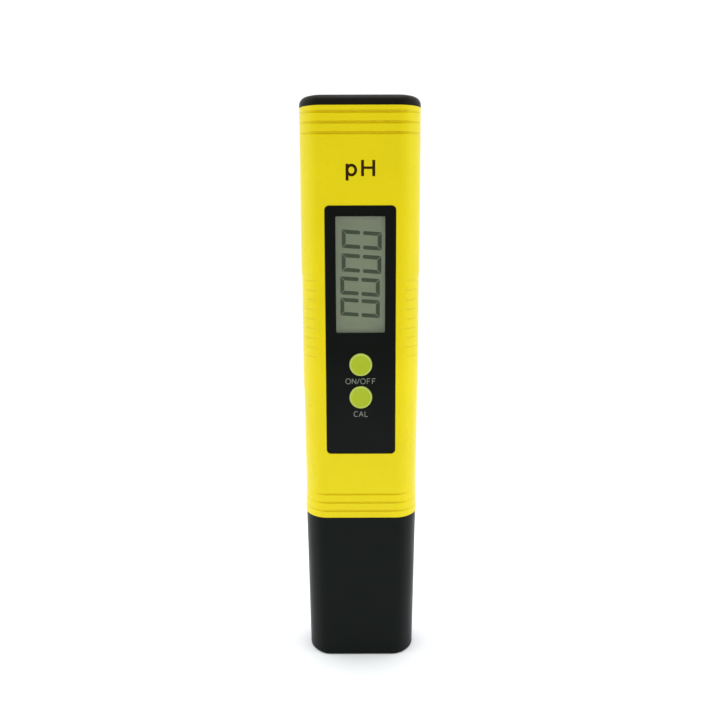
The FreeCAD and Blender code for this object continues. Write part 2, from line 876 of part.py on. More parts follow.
def make_face():
    panel = slab(
        "face_panel",
        f"{PANEL_BACK} + dim.panel_thickness",
        "dim.panel_thickness",
        panel_outline("0"),
        window_outline("0"),
    )
    holes = facing_sketch(panel, f"{PANEL_BACK} + dim.panel_thickness")
    for z in ("dim.power_button_z", "dim.calibrate_button_z"):
        draw_disc(holes, "0", z, "dim.button_hole_radius")
    pocket(panel, holes, "dim.panel_thickness")
    inset = "-dim.fit_gap / 2"
    window = slab(
        "display_window",
        f"{PANEL_BACK} + dim.panel_thickness",
        "dim.panel_thickness + dim.board_gap",
        window_outline(inset),
    )
    rim = draw(
        facing_sketch(window, f"{PANEL_BACK} - dim.board_gap"),
        window_outline("dim.window_rim - dim.fit_gap / 2"),
    )
    pad(window, rim, "dim.window_rim_thickness", other_way=True)


def display_box(half_width, half_height):
    return box(
        f"-({half_width})",
        half_width,
        f"dim.display_z - ({half_height})",
        f"dim.display_z + ({half_height})",
    )


def make_display_frame():
    body = slab(
        "display_frame",
        "dim.display_front",
        f"dim.display_front - {BOARD_FRONT}",
        display_box("dim.display_frame_half_width", "dim.display_frame_half_height"),
        display_box("dim.display_opening_half_width", "dim.display_opening_half_height"),
    )
    hollow = draw(
        facing_sketch(body, BOARD_FRONT),
        display_box(
            "dim.display_frame_half_width - dim.display_frame_wall",
            "dim.display_frame_half_height - dim.display_frame_wall",
        ),
    )
    deep = f"dim.display_front - dim.display_frame_lip - {BOARD_FRONT}"
    pocket(body, hollow, deep, other_way=True)


def make_display_layers():
    """Film, glass, glass and film from front to back, and the rubber strips that feed the glass."""
    opening_width, opening_height = "dim.display_opening_half_width", "dim.display_opening_half_height"
    film_width = f"{opening_width} - dim.film_inset"
    film_height = f"{opening_height} - dim.film_inset"
    glass_height = "dim.front_glass_half_height"
    layers = (
        ("display_polarizer", "dim.film_thickness", film_width, film_height),
        ("display_front_glass", "dim.glass_thickness", "dim.front_glass_half_width", glass_height),
        ("display_rear_glass", "dim.glass_thickness", "dim.rear_glass_half_width", glass_height),
        ("display_reflector", "dim.film_thickness", film_width, film_height),
    )
    lip_back = "(dim.display_front - dim.display_frame_lip)"
    before = f"({lip_back} - dim.fit_gap + dim.layer_gap + dim.film_thickness)"
    for label, thickness, half_width, half_height in layers:
        slab(label, before, thickness, display_box(half_width, half_height))
        before = f"({before} - {thickness} - dim.layer_gap)"
    glass_back = f"({lip_back} - dim.fit_gap - dim.glass_thickness)"
    strips = facing_sketch(new_body("zebra_strips"), f"{glass_back} - dim.layer_gap")
    low, high = "dim.display_z - dim.zebra_half_length", "dim.display_z + dim.zebra_half_length"
    draw(strips, box("dim.zebra_inner", "dim.zebra_outer", low, high))
    draw(strips, box("-dim.zebra_outer", "-dim.zebra_inner", low, high))
    pad(nodes[-1], strips, f"{glass_back} - dim.layer_gap - {BOARD_FRONT}", other_way=True)


# ---------------------------------------------------------------------------------------------
# Circuit board and its parts
# ---------------------------------------------------------------------------------------------


def make_board():
    body = slab(
        "circuit_board",
        "dim.board_front",
        "dim.board_thickness",
        rounded_box(
            "-dim.board_half_width",
            "dim.board_half_width",
            "dim.board_bottom",
            "dim.board_top",
            "dim.panel_radius",
        ),
    )
    holes = facing_sketch(body, "dim.board_front")
    for x, z in screw_centres():
        draw_disc(holes, x, z, "dim.screw_hole_radius")
    pocket(body, holes, "dim.board_thickness")


def make_board_screws():
    body = new_body("board_screws")
    under_head = f"{BOARD_BACK} - dim.board_gap"
    shanks, heads, slots = (
        facing_sketch(body, before)
        for before in (under_head, under_head, f"{under_head} - dim.screw_head_height")
    )
    for x, z in screw_centres():
        draw_disc(shanks, x, z, "dim.screw_radius")
        draw_disc(heads, x, z, "dim.screw_head_radius")
        left, right = (f"{x} {sign} dim.screw_slot_half_length" for sign in "-+")
        low, high = (f"{z} {sign} dim.screw_slot_half_width" for sign in "-+")
        draw(slots, box(left, right, low, high))
    pad(body, heads, "dim.screw_head_height", other_way=True)
    pad(body, shanks, "dim.screw_length")
    pocket(body, slots, "dim.screw_slot_depth", other_way=True)


def make_chip(label, z, half_width, half_length, height, pins):
    """A chip on the back of the board with a row of pins down each side."""
    body = new_body(label)
    outline = draw(
        new_sketch(body, "XY", "dim.pin_thickness"),
        box(f"-{half_width}", half_width, f"-{half_length}", half_length),
    )
    pad(body, outline, f"{height} - dim.pin_thickness")
    rows = new_sketch(body, "XY", "0")
    for i in range(pins):
        middle = f"({i} - ({pins} - 1) / 2) * dim.pin_pitch"
        low, high = f"{middle} - dim.pin_half_width", f"{middle} + dim.pin_half_width"
        inner, outer = f"({half_width} - dim.pin_thickness)", f"({half_width} + dim.pin_reach)"
        draw(rows, box(inner, outer, low, high))
        draw(rows, box(f"-{outer}", f"-{inner}", low, high))
    pad(body, rows, "dim.pin_thickness + 0.05")
    place(body, "0", f"-({BOARD_BACK}) + dim.board_gap", z, FACING_BACK)


def make_small_chips():
    """Resistors and capacitors on the back of the board."""
    body = new_body("chip_components")
    sketch = facing_sketch(body, f"{BOARD_BACK} - dim.board_gap")
    spots = [(x, z) for z in (80.0, 88.0, 91.0, 95.0) for x in (-6.5, 6.0)]
    spots += [(x, z) for z in (112.5, 115.5, 118.5) for x in (-4.0, 0.0, 4.0)]
    for x, z in spots:
        draw(
            sketch,
            box(
                f"{x} - dim.chip_half_length",
                f"{x} + dim.chip_half_length",
                f"{z} - dim.chip_half_width",
                f"{z} + dim.chip_half_width",
            ),
        )
    pad(body, sketch, "dim.chip_height", other_way=True)


def make_crystal():
    slab(
        "clock_crystal",
        f"{BOARD_BACK} - dim.board_gap",
        "dim.crystal_height",
        rounded_box(
            "dim.crystal_x - dim.crystal_half_width",
            "dim.crystal_x + dim.crystal_half_width",
            "dim.crystal_z - dim.crystal_half_length",
            "dim.crystal_z + dim.crystal_half_length",
            "(dim.crystal_half_width * 0.9)",
        ),
    )


def make_switch(name, z):
    """A tactile switch in three pieces, facing the front: its base, its cover and its plunger."""
    base = new_body(f"{name}_switch_base")
    side = "dim.switch_half_side"
    square = box(f"-{side}", side, f"-{side}", side)
    pad(base, draw(new_sketch(base, "XY"), square), "dim.switch_base_height")
    well = draw_disc(
        new_sketch(base, "XY", "dim.switch_base_height"), "0", "0", "dim.switch_well_radius"
    )
    pocket(base, well, "dim.switch_well_depth")
    legs = new_sketch(base, "XY")
    for x_sign in (-1, 1):
        for y_sign in (-1, 1):
            ends = sorted(
                (f"{x_sign} * ({side} - 0.1)", f"{x_sign} * ({side} + dim.switch_leg_reach)"),
                key=size,
            )
            middle = f"{y_sign} * {side} * 0.75"
            low, high = (f"{middle} {sign} dim.switch_leg_half_width" for sign in "-+")
            draw(legs, box(*ends, low, high))
    pad(base, legs, "dim.pin_thickness")
    place(base, "0", f"-{BOARD_FRONT}", z, FACING_FRONT)

    cover = new_body(f"{name}_switch_cover")
    plate = draw(new_sketch(cover, "XY"), square)
    draw_disc(plate, "0", "0", "dim.switch_cover_hole")
    pad(cover, plate, "dim.switch_cover_thickness")
    cover_back = f"{BOARD_FRONT} + dim.switch_base_height + dim.board_gap"
    place(cover, "0", f"-({cover_back})", z, FACING_FRONT)

    plunger = new_body(f"{name}_switch_plunger")
    radius, flange = "dim.plunger_radius", "dim.plunger_flange_radius"
    top = "dim.plunger_flange_height + dim.plunger_rise"
    profile = [
        ("0", "0"),
        (flange, "0"),
        (flange, "dim.plunger_flange_height"),
        (radius, "dim.plunger_flange_height"),
        (radius, top),
        ("0", top),
    ]
    turn(plunger, profile)
    flange_front = f"{cover_back} - dim.board_gap"
    place(plunger, "0", f"-({flange_front} - dim.plunger_flange_height)", z, FACING_FRONT)


def make_button(label, z):
    """A round push button: its head stands out of the panel and its flange keeps it in."""
    body = new_body(label)
    stem, flange, head = (
        "dim.button_stem_radius",
        "dim.button_flange_radius",
        "dim.button_radius",
    )
    shoulder = "dim.button_stem_height + dim.button_flange_thickness"
    dish = "dim.button_dish_radius"
    profile = [
        ("0", "0"),
        (stem, "0"),
        (stem, "dim.button_stem_height"),
        (flange, "dim.button_stem_height"),
        (flange, shoulder),
        (head, shoulder),
        (head, "dim.button_height - dim.button_edge_radius", "dim.button_edge_radius"),
        (f"{head} - dim.button_edge_radius", "dim.button_height"),
        (dish, "dim.button_height - dim.button_dish_depth / 2"),
        ("0", "dim.button_height - dim.button_dish_depth"),
    ]
    turn(body, profile)
    plunger_front = f"{BOARD_FRONT} + dim.switch_base_height + dim.plunger_rise"
    place(body, "0", f"-({plunger_front} + dim.board_gap)", z, FACING_FRONT)


def make_electronics():
    make_board()
    make_board_screws()
    half_side = "dim.processor_half_side"
    make_chip("microcontroller", "dim.processor_z", half_side, half_side, "dim.processor_height", 7)
    make_chip(
        "amplifier_chip",
        "dim.amplifier_z",
        "dim.amplifier_half_width",
        "dim.amplifier_half_length",
        "dim.amplifier_height",
        4,
    )
    make_small_chips()
    make_crystal()
    make_switch("power", "dim.power_button_z")
    make_switch("calibrate", "dim.calibrate_button_z")
    make_button("power_button", "dim.power_button_z")
    make_button("calibrate_button", "dim.calibrate_button_z")


# ---------------------------------------------------------------------------------------------
# Battery drawer and contacts
# ---------------------------------------------------------------------------------------------


def make_contact(label, side):
    """A strip folded over at the top, whose inner leaf has a bump that presses on a cell."""
    body = new_body(label)
    thick = "dim.contact_thickness"
    outer, leaf, tip = "dim.contact_outer", "dim.contact_leaf", "dim.contact_tip"
    low, high, leaf_low = "dim.contact_low", "dim.contact_high", "dim.contact_leaf_low"
    flat, foot = "(dim.contact_bump / 2)", "(dim.contact_bump / 2 + dim.contact_bump)"
    profile = [
        (outer, low),
        (outer, high),
        (f"{leaf} - {thick}", high),
        (f"{leaf} - {thick}", f"dim.cell_z + {foot}"),
        (tip, f"dim.cell_z + {flat}"),
        (tip, f"dim.cell_z - {flat}"),
        (f"{leaf} - {thick}", f"dim.cell_z - {foot}"),
        (f"{leaf} - {thick}", leaf_low),
        (leaf, leaf_low),
        (leaf, f"dim.cell_z - {foot}"),
        (f"{tip} + {thick}", f"dim.cell_z - {flat}"),
        (f"{tip} + {thick}", f"dim.cell_z + {flat}"),
        (leaf, f"dim.cell_z + {foot}"),
        (leaf, f"{high} - {thick}"),
        (f"{outer} - {thick}", f"{high} - {thick}"),
        (f"{outer} - {thick}", low),
    ]
    profile = [(f"{side} * ({x})", z) for x, z in profile]
    sketch = draw(facing_sketch(body, "0"), profile)
    strip = pad(body, sketch, "dim.contact_width")
    strip.Midplane = True


def make_lead(label, side):
    """An insulated wire from a contact's foot to the back of the board."""
    body = new_body(label)
    offset = f"{side} * (dim.contact_outer - dim.contact_thickness / 2)"
    bend = "dim.lead_bend"
    top = "dim.contact_low - dim.fit_gap"
    path = draw(
        new_sketch(body, "YZ", offset),
        [
            ("dim.lead_start", top),
            ("dim.lead_start", f"dim.lead_low + {bend}", f"-{bend}"),
            (f"dim.lead_start - {bend}", "dim.lead_low"),
            (f"-({BOARD_BACK}) + dim.fit_gap", "dim.lead_low"),
        ],
        closed=False,
    )
    section = draw_disc(new_sketch(body, "XY", top), offset, "dim.lead_start", "dim.lead_radius")
    sweep(body, section, path)


def make_battery_cap():
    body = new_body("battery_cap")
    bottom = "dim.case_top + dim.cap_gap"
    outline = full_outline("dim.head_half_width", "dim.case_half_depth")
    pad(body, draw(new_sketch(body, "XY", bottom), outline), f"dim.total_height - ({bottom})")
    half_width = "(dim.cavity_half_width - dim.fit_gap)"
    half_depth = "(dim.cavity_half_depth - dim.fit_gap)"
    wall = "dim.skirt_thickness"
    skirt = new_sketch(body, "XY", bottom)
    draw(skirt, centred_box(half_width, half_depth, "dim.skirt_radius"))
    draw(
        skirt,
        centred_box(
            f"{half_width} - {wall}", f"{half_depth} - {wall}", f"(dim.skirt_radius - {wall})"
        ),
    )
    pad(body, skirt, "dim.skirt_height", other_way=True)
    socket = new_sketch(body, "XY", bottom)
    width = "dim.carrier_neck_half_width + dim.fit_gap"
    depth = "dim.carrier_neck_half_depth + dim.fit_gap"
    draw(
        socket,
        box(
            f"-({width} + dim.socket_wall)",
            f"{width} + dim.socket_wall",
            f"-({depth} + dim.socket_wall)",
            f"{depth} + dim.socket_wall",
        ),
    )
    draw(socket, box(f"-({width})", width, f"-({depth})", depth))
    pad(body, socket, "dim.socket_height", other_way=True)
    round_edges(body, "dim.cap_edge_radius", edges_at_height("dim.total_height"))
    groove_height = "2 * dim.skirt_seal_wire + 2 * dim.seal_groove_slack"
    groove_depth = "2 * dim.skirt_seal_wire + dim.seal_groove_slack - dim.seal_proud"
    cut_ring_groove(
        body, "dim.skirt_seal_z", groove_height, half_width, half_depth, "dim.skirt_radius",
        groove_depth,
    )
    inset = "dim.skirt_seal_wire - dim.seal_proud"
    seal_ring(
        "battery_cap_seal",
        "dim.skirt_seal_z",
        f"({half_width} - ({inset}))",
        f"({half_depth} - ({inset}))",
        f"(dim.skirt_radius - ({inset}))",
        "dim.skirt_seal_wire",
    )


def make_cell_carrier():
    body = new_body("cell_carrier")
    outline = centred_box(
        "dim.carrier_half_width", "dim.carrier_half_depth", "dim.carrier_radius"
    )
    block = draw(new_sketch(body, "XY", "dim.carrier_bottom"), outline)
    pad(body, block, "dim.carrier_top - dim.carrier_bottom")
    bore = draw_disc(
        new_sketch(body, "YZ", "dim.carrier_half_width"), "0", "dim.cell_z", "dim.carrier_bore_radius"
    )
    pocket(body, bore, "2 * dim.carrier_half_width")
    neck = draw(
        new_sketch(body, "XY", "dim.carrier_top"),
        centred_box(
            "dim.carrier_neck_half_width", "dim.carrier_neck_half_depth", "(dim.fit_gap * 3)"
        ),
    )
    pad(body, neck, "dim.case_top - dim.carrier_top")


def make_cell(label, positive_x):
    """A button cell whose flat positive face is at positive_x, facing right."""
    body = new_body(label)
    radius, edge = "dim.cell_radius", "dim.cell_edge_radius"
    shoulder = "dim.cell_height - dim.cell_gasket_step"
    rim = "dim.cell_negative_radius"
    top = f"dim.cell_height - 2 * dim.layer_gap"
    profile = [
        ("0", "0"),
        (f"{radius} - {edge}", "0", edge),
        (radius, edge),
        (radius, f"{shoulder} - {edge}", edge),
        (f"{radius} - {edge}", shoulder),
        (rim, shoulder),
        (rim, top),
        ("0", top),
    ]
    turn(body, profile)
    place(body, positive_x, "0", "dim.cell_z", FACING_LEFT)


def make_battery_parts():
    make_contact("positive_contact", 1)
    make_contact("negative_contact", -1)
    make_lead("positive_lead", 1)
    make_lead("negative_lead", -1)
    make_battery_cap()
    make_cell_carrier()
    make_cell("button_cell_right", "dim.cell_height")
    make_cell("button_cell_left", "0")


# ---------------------------------------------------------------------------------------------
# Electrode holder, its seals and the protective cap
# ---------------------------------------------------------------------------------------------


def make_electrode_holder():
    """A plug held in the bottom of the case, with a slotted guard round the electrode below it."""
    body = new_body("electrode_holder")
    half_width = "(dim.cavity_half_width - dim.fit_gap)"
    half_depth = "(dim.cavity_half_depth - dim.fit_gap)"
    plug = centred_box(half_width, half_depth, "dim.plug_radius")
    pad(body, draw(new_sketch(body, "XY", "dim.plug_bottom"), plug), "dim.plug_top - dim.plug_bottom")
    guard = centred_box("dim.guard_half_width", "dim.guard_half_depth", "dim.guard_radius")
    pad(
        body,
        draw(new_sketch(body, "XY", "dim.plug_bottom"), guard),
        "dim.plug_bottom - dim.guard_bottom",
        other_way=True,
    )
    hollow = centred_box(
        "dim.guard_half_width - dim.guard_wall",
        "dim.guard_half_depth - dim.guard_wall",
        "(dim.guard_radius - dim.guard_wall)",
    )
    pocket(
        body,
        draw(new_sketch(body, "XY", "dim.guard_bottom"), hollow),
        "dim.guard_floor - dim.guard_bottom",
        other_way=True,
    )
    bores = new_sketch(body, "XY", "dim.plug_top")
    draw_disc(bores, "dim.electrode_x", "0", "dim.tube_radius + dim.bore_gap")
    draw_disc(bores, "dim.probe_x", "0", "dim.probe_radius + dim.bore_gap")
    pocket(body, bores, "dim.plug_top - dim.guard_bottom")
    notch_low = "dim.guard_bottom - 1"
    front = "dim.front_notch_half_width"
    front_notch = draw(
        facing_sketch(body, "dim.guard_half_depth + 1"),
        rounded_box(f"-{front}", front, notch_low, "dim.front_notch_top", "dim.fit_gap * 8"),
    )
    pocket(body, front_notch, "2 * dim.guard_half_depth + 2")
    side = "dim.side_notch_half_width"
    side_notch = draw(
        new_sketch(body, "YZ", "dim.guard_half_width + 1"),
        rounded_box(f"-{side}", side, notch_low, "dim.side_notch_top", "dim.fit_gap * 8"),
    )
    pocket(body, side_notch, "2 * dim.guard_half_width + 2")
    cut_ring_groove(
        body,
        "dim.plug_lock_bottom + dim.plug_lock_height / 2",
        "dim.plug_lock_height",
        half_width,
        half_depth,
        "dim.plug_radius",
        "dim.plug_lock_depth",
    )
    cut_ring_groove(
        body,
        "dim.plug_seal_z",
        "2 * dim.plug_seal_wire + 2 * dim.seal_groove_slack",
        half_width,
        half_depth,
        "dim.plug_radius",
        "2 * dim.plug_seal_wire + dim.seal_groove_slack - dim.seal_proud",
    )
    cut_ring_groove(
        body,
        "dim.guard_seal_z",
        "2 * dim.guard_seal_wire + 2 * dim.seal_groove_slack",
        "dim.guard_half_width",
        "dim.guard_half_depth",
        "dim.guard_radius",
        "2 * dim.guard_seal_wire + dim.seal_groove_slack - dim.guard_seal_proud",
    )
    inset = "dim.plug_seal_wire - dim.seal_proud"
    seal_ring(
        "holder_seal",
        "dim.plug_seal_z",
        f"({half_width} - ({inset}))",
        f"({half_depth} - ({inset}))",
        f"(dim.plug_radius - ({inset}))",
        "dim.plug_seal_wire",
    )
    inset = "dim.guard_seal_wire - dim.guard_seal_proud"
    seal_ring(
        "cap_seal",
        "dim.guard_seal_z",
        f"(dim.guard_half_width - ({inset}))",
        f"(dim.guard_half_depth - ({inset}))",
        f"(dim.guard_radius - ({inset}))",
        "dim.guard_seal_wire",
    )


def make_protective_cap():
    body = new_body("protective_cap")
    rim = "dim.case_bottom - dim.cap_gap"
    foot = full_outline("dim.cap_foot_half_width", "dim.cap_foot_half_depth")
    mouth = full_outline("dim.cap_rim_half_width", "dim.cap_rim_half_depth")
    loft(body, [draw(new_sketch(body, "XY", "0"), foot), draw(new_sketch(body, "XY", rim), mouth)])
    well = centred_box("dim.cap_well_half_width", "dim.cap_well_half_depth", "dim.cap_well_radius")
    pocket(body, draw(new_sketch(body, "XY", rim), well), f"{rim} - dim.cap_floor")
    round_edges(body, "dim.cap_foot_radius", edges_at_height("0"))


# ---------------------------------------------------------------------------------------------
# Electrode and temperature probe
# ---------------------------------------------------------------------------------------------


def make_electrode():
    tube = new_body("electrode_tube")
    turn(tube, box("dim.tube_bore", "dim.tube_radius", "dim.tube_bottom", "dim.tube_top"))
    place(tube, "dim.electrode_x")

    bulb = new_body("electrode_bulb")
    outer, inner = "dim.bulb_radius", "(dim.bulb_radius - dim.bulb_wall)"
    neck = f"dim.bulb_z + sqrt({outer}^2 - dim.stem_radius^2)"
    inner_neck = f"dim.bulb_z + sqrt({inner}^2 - dim.stem_bore^2)"
    profile = [
        ("0", f"dim.bulb_z - {outer}", outer),
        ("dim.stem_radius", neck),
        ("dim.stem_radius", "dim.stem_top"),
        ("dim.stem_bore", "dim.stem_top"),
        ("dim.stem_bore", inner_neck, f"-{inner}"),
        ("0", f"dim.bulb_z - {inner}"),
    ]
    turn(bulb, profile)
    place(bulb, "dim.electrode_x")

    seal = new_body("electrode_end_seal")
    ring = new_sketch(seal, "XY", "dim.tube_bottom")
    draw_disc(ring, "0", "0", "dim.tube_bore - dim.bore_gap")
    draw_disc(ring, "0", "0", "dim.stem_radius + dim.bore_gap")
    draw_disc(ring, "-dim.junction_offset", "0", "dim.junction_radius + dim.layer_gap")
    pad(seal, ring, "dim.end_seal_height")
    place(seal, "dim.electrode_x")

    junction = new_body("reference_junction")
    plug = draw_disc(
        new_sketch(junction, "XY", "dim.tube_bottom - dim.junction_proud"),
        "0",
        "0",
        "dim.junction_radius",
    )
    pad(junction, plug, "dim.end_seal_height + 2 * dim.junction_proud")
    place(junction, "dim.electrode_x - dim.junction_offset")

    for label, x, low in (
        ("sensing_wire", "dim.electrode_x", "dim.silver_bottom"),
        ("reference_wire", "dim.electrode_x - dim.junction_offset", "dim.reference_bottom"),
    ):
        wire = new_body(label)
        disc = draw_disc(new_sketch(wire, "XY", low), "0", "0", "dim.silver_radius")
        pad(wire, disc, f"dim.silver_top - {low}")
        place(wire, x)

    head = new_body("electrode_head")
    bore, room = "(dim.tube_radius + dim.bore_gap)", "dim.potting_room_radius"
    ledge = "dim.tube_top + dim.fit_gap"
    roof = "dim.potting_top - dim.potting_roof"
    profile = [
        (bore, "dim.potting_bottom"),
        ("dim.potting_radius", "dim.potting_bottom"),
        ("dim.potting_radius", "dim.potting_top"),
        ("0", "dim.potting_top"),
        ("0", roof),
        (room, roof),
        (room, ledge),
        (bore, ledge),
    ]
    turn(head, profile)
    place(head, "dim.electrode_x")


def make_rising_wire(label, columns, radius, start_y, low, high, bend):
    """Wires that rise behind the board and turn in to its back, one at each x of columns."""
    body = new_body(label)
    for x in columns:
        path = draw(
            new_sketch(body, "YZ", x),
            [
                (start_y, low),
                (start_y, f"{high} - {bend}", bend),
                (f"{start_y} - {bend}", high),
            ],
            closed=False,
        )
        section = draw_disc(new_sketch(body, "XY", low), x, start_y, radius)
        sweep(body, section, path)


def make_probe():
    tube = new_body("temperature_probe")
    radius, bore, tip = "dim.probe_radius", "dim.probe_bore", "dim.probe_tip_radius"
    bottom, wall = "dim.probe_bottom", "(dim.probe_radius - dim.probe_bore)"
    profile = [
        ("0", bottom),
        (f"{radius} - {tip}", bottom, tip),
        (radius, f"{bottom} + {tip}"),
        (radius, "dim.probe_top"),
        (bore, "dim.probe_top"),
        (bore, f"{bottom} + {tip}"),
        (f"{bore} - ({tip} - {wall})", f"{bottom} + {wall}"),
        ("0", f"{bottom} + {wall}"),
    ]
    turn(tube, profile)
    place(tube, "dim.probe_x")

    bead = new_body("thermistor")
    ball = "dim.thermistor_radius"
    turn(bead, [("0", f"-{ball}", ball), (ball, "0", ball), ("0", ball)])
    place(bead, "dim.probe_x", "0", "dim.thermistor_z")

    offset = "dim.thermistor_lead_offset"
    make_rising_wire(
        "thermistor_leads",
        (f"dim.probe_x - {offset}", f"dim.probe_x + {offset}"),
        "dim.thermistor_lead_radius",
        "0",
        "dim.thermistor_z + dim.thermistor_radius + dim.layer_gap",
        "dim.thermistor_lead_top",
        "dim.thermistor_lead_bend",
    )


def make_probe_end():
    make_electrode_holder()
    make_protective_cap()
    make_electrode()
    make_rising_wire(
        "electrode_cable",
        ("dim.electrode_x",),
        "dim.cable_radius",
        "dim.cable_y",
        "dim.potting_top + dim.layer_gap",
        "dim.cable_top",
        "dim.cable_bend",
    )
    make_probe()


# ---------------------------------------------------------------------------------------------
# Check and export
# ---------------------------------------------------------------------------------------------


def check_and_export():
    doc.recompute()
    for item in doc.Objects:
        if {"Invalid", "Error"} & set(item.State):
            raise RuntimeError(f"{item.Label} failed: {item.State}")
    os.makedirs("parts", exist_ok=True)
    for node in nodes:
        shape = node.Shape
        if shape.isNull() or not shape.isValid() or not shape.Solids:
            raise RuntimeError(f"{node.Label} has no valid solid")
        print(f"{node.Label}: {len(shape.Solids)} solid(s), {shape.Volume:.1f} mm3")
        shape.exportStep(f"parts/{node.Label}.step")


make_case()
make_face()
make_display_frame()
make_display_layers()
make_electronics()
make_battery_parts()
make_probe_end()
check_and_export()
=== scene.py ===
"""The looks of the digital pH meter: materials, print, display digits, floor, light and camera.

Metres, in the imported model's frame: the meter stands on the origin and shows its face to -Y.
"""

import json
import math

import bpy
from mathutils import Matrix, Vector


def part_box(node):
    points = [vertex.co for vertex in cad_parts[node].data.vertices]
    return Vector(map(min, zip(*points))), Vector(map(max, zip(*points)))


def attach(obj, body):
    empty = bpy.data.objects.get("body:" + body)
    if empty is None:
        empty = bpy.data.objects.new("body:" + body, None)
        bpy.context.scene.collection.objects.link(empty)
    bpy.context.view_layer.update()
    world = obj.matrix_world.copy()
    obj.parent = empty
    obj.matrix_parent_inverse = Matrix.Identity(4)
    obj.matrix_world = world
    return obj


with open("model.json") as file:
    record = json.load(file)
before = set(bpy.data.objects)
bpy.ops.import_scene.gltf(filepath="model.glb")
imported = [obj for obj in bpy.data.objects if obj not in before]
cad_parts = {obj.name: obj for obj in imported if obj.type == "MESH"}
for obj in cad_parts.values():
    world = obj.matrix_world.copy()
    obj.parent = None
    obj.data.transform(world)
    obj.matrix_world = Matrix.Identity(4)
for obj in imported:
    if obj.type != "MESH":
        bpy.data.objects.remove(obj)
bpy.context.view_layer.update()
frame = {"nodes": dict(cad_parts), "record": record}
scene = bpy.context.scene
MM = 0.001


# ---------------------------------------------------------------------------------------------
# Material nodes
# ---------------------------------------------------------------------------------------------


class Look:
    """A node material built around one Principled shader."""

    def __init__(self, name, colour, roughness, **sockets):
        self.material = bpy.data.materials.new(name)
        self.material.use_nodes = True
        self.tree = self.material.node_tree
        self.tree.nodes.clear()
        self.shader = self.node("ShaderNodeBsdfPrincipled")
        output = self.node("ShaderNodeOutputMaterial")
        self.link(self.shader.outputs["BSDF"], output.inputs["Surface"])
        self.shader.inputs["Base Color"].default_value = (*colour, 1)
        self.shader.inputs["Roughness"].default_value = roughness
        for socket, value in sockets.items():
            self.shader.inputs[socket.replace("_", " ")].default_value = value
        self.colour, self.roughness = colour, roughness
        self.place = self.node("ShaderNodeTexCoord").outputs["Object"]

    def node(self, kind, **settings):
        made = self.tree.nodes.new(kind)
        for key, value in settings.items():
            setattr(made, key, value)
        return made

    def link(self, source, target):
        self.tree.links.new(source, target)

    def noise(self, size, detail=3.0, stretch=None):
        """Noise whose blotches are about size metres across, from 0 to 1."""
        made = self.node("ShaderNodeTexNoise")
        made.inputs["Scale"].default_value = 1 / size
        made.inputs["Detail"].default_value = detail
        place = self.place
        if stretch:
            mapping = self.node("ShaderNodeMapping")
            mapping.inputs["Scale"].default_value = stretch
            self.link(place, mapping.inputs["Vector"])
            place = mapping.outputs["Vector"]
        self.link(place, made.inputs["Vector"])
        return made.outputs["Fac"]

    def remap(self, source, low, high, start=0.3, end=0.7):
        made = self.node("ShaderNodeMapRange")
        for socket, value in (
            ("From Min", start),
            ("From Max", end),
            ("To Min", low),
            ("To Max", high),
        ):
            made.inputs[socket].default_value = value
        self.link(source, made.inputs["Value"])
        return made.outputs["Result"]

    def mix(self, factor, first, second):
        """A colour between two colours, each a tuple or a socket."""
        made = self.node("ShaderNodeMix", data_type="RGBA")
        sockets = [s for s in made.inputs if s.enabled]
        self.link(factor, sockets[0])
        for socket, value in zip(sockets[1:], (first, second)):
            if isinstance(value, tuple):
                socket.default_value = (*value, 1)
            else:
                self.link(value, socket)
        return next(s for s in made.outputs if s.enabled)

    def maths(self, operation, *values, kind="ShaderNodeMath", result="Value"):
        """The result of a maths node; each value is a socket or a constant."""
        made = self.node(kind, operation=operation)
        for socket, value in zip(made.inputs, values):
            if isinstance(value, bpy.types.NodeSocket):
                self.link(value, socket)
            else:
                socket.default_value = value
        return made.outputs[result]

    def vary_colour(self, size, amount):
        """Lets the colour drift by amount of itself either way."""
        dark = tuple(c * (1 - amount) for c in self.colour)
        light = tuple(min(c * (1 + amount), 1.0) for c in self.colour)
        drift = self.remap(self.noise(size), 0, 1)
        self.link(self.mix(drift, dark, light), self.shader.inputs["Base Color"])
        return self

    def vary_roughness(self, size, amount, stretch=None):
        low, high = self.roughness - amount, self.roughness + amount
        drift = self.remap(self.noise(size, 4.0, stretch), low, high)
        self.link(drift, self.shader.inputs["Roughness"])
        return self

    def grain(self, size, depth, stretch=None):
        """A moulded or worn surface: bumps about size across and depth deep."""
        bump = self.node("ShaderNodeBump")
        bump.inputs["Strength"].default_value = 1.0
        bump.inputs["Distance"].default_value = depth
        self.link(self.noise(size, 2.0, stretch), bump.inputs["Height"])
        self.link(bump.outputs["Normal"], self.shader.inputs["Normal"])
        return self


# ---------------------------------------------------------------------------------------------
# Materials
# ---------------------------------------------------------------------------------------------

# A painted highlight makes a button's rim paler between these distances from its middle.
PAINTED_HIGHLIGHT_START, PAINTED_HIGHLIGHT_END = 2.45 * MM, 2.85 * MM
# How far the painted light along the display film's edges reaches inwards.
PAINTED_LIGHT_REACH = 2.6 * MM


def moulded(name, colour, roughness, grain_size=0.4 * MM, grain_depth=0.006 * MM, **sockets):
    """Moulded plastic: a fine spark-eroded grain, a slow drift of colour and a little handling."""
    look = Look(name, colour, roughness, **sockets)
    look.vary_colour(14 * MM, 0.03)
    look.vary_roughness(6 * MM, min(0.05, roughness * 0.2))
    return look.grain(grain_size, grain_depth)


def metal(name, colour, roughness, stretch=(1, 1, 14)):
    """Drawn or rolled metal with fine lines along it."""
    look = Look(name, colour, roughness, Metallic=1.0)
    look.vary_colour(3 * MM, 0.06)
    look.vary_roughness(0.5 * MM, roughness * 0.35, stretch=stretch)
    return look.grain(0.12 * MM, 0.003 * MM, stretch=stretch)


